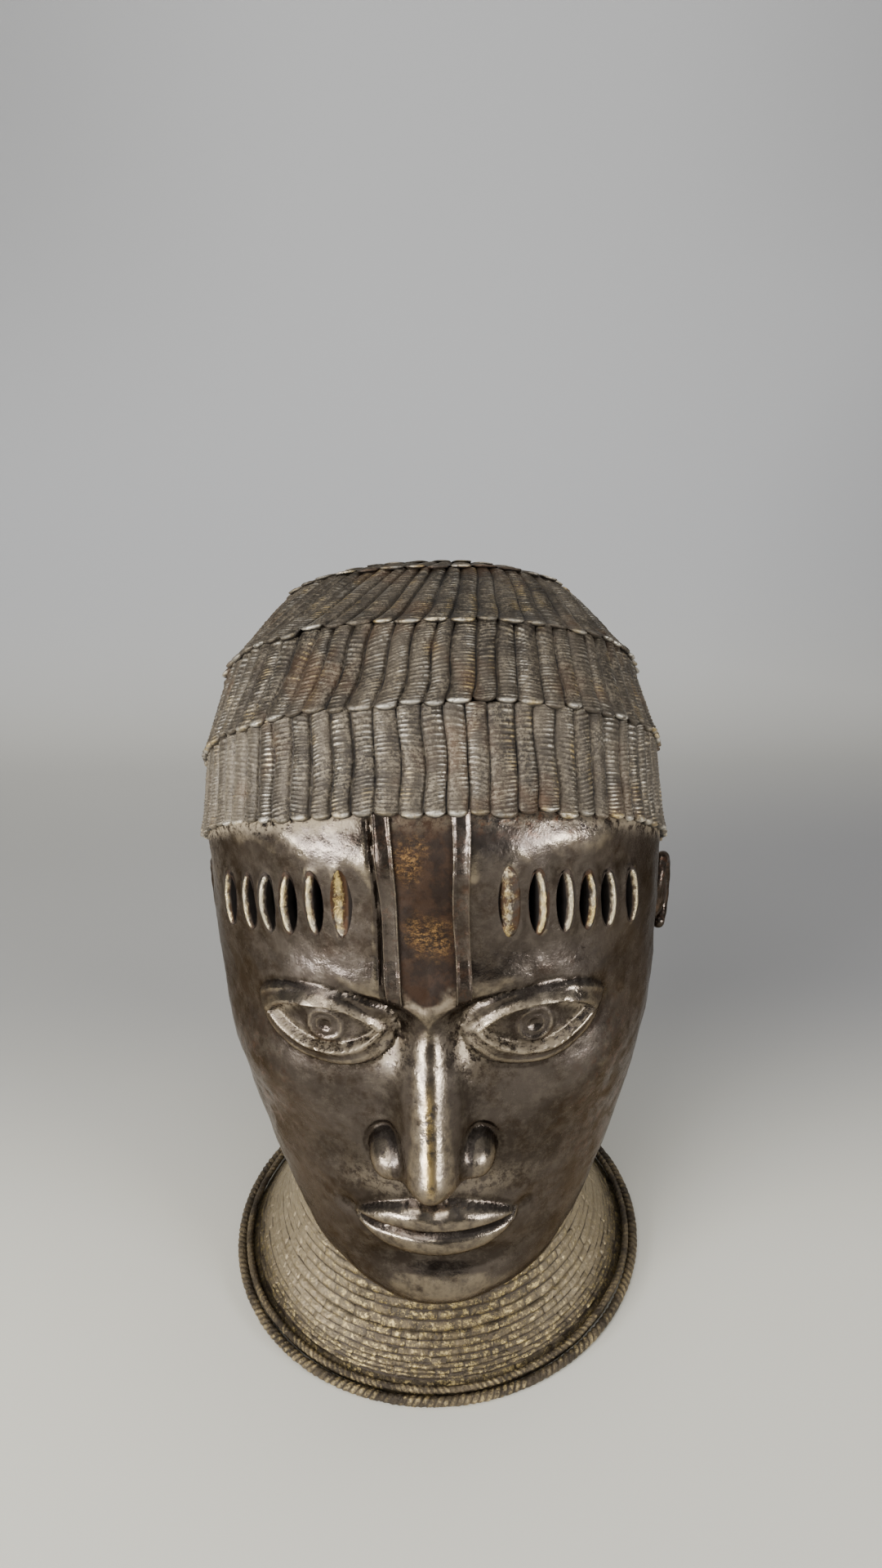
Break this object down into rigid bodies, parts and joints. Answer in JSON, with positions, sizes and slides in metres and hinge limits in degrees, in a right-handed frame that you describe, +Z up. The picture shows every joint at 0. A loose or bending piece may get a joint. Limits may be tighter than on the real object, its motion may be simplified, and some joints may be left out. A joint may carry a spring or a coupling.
{
  "type": "benin bronze head",
  "caption": "Hollow cast brass head with tiered rolls of hair, pierced forehead marks and a flared bead collar.",
  "frame": {"origin": "on the table, under the middle of the casting's box", "axes": "+Z up, -Y out of the face, +X towards the head's own left"},
  "size_m": [0.179, 0.2012, 0.2866],
  "materials": {
    "bronze": "dark brown to black patina, glossy on the face, dusty tan on the hair and collar, rubbed bright on the edges"
  },
  "bodies": {
    "root": {"cast_head": "bronze"}
  },
  "joints": []
}
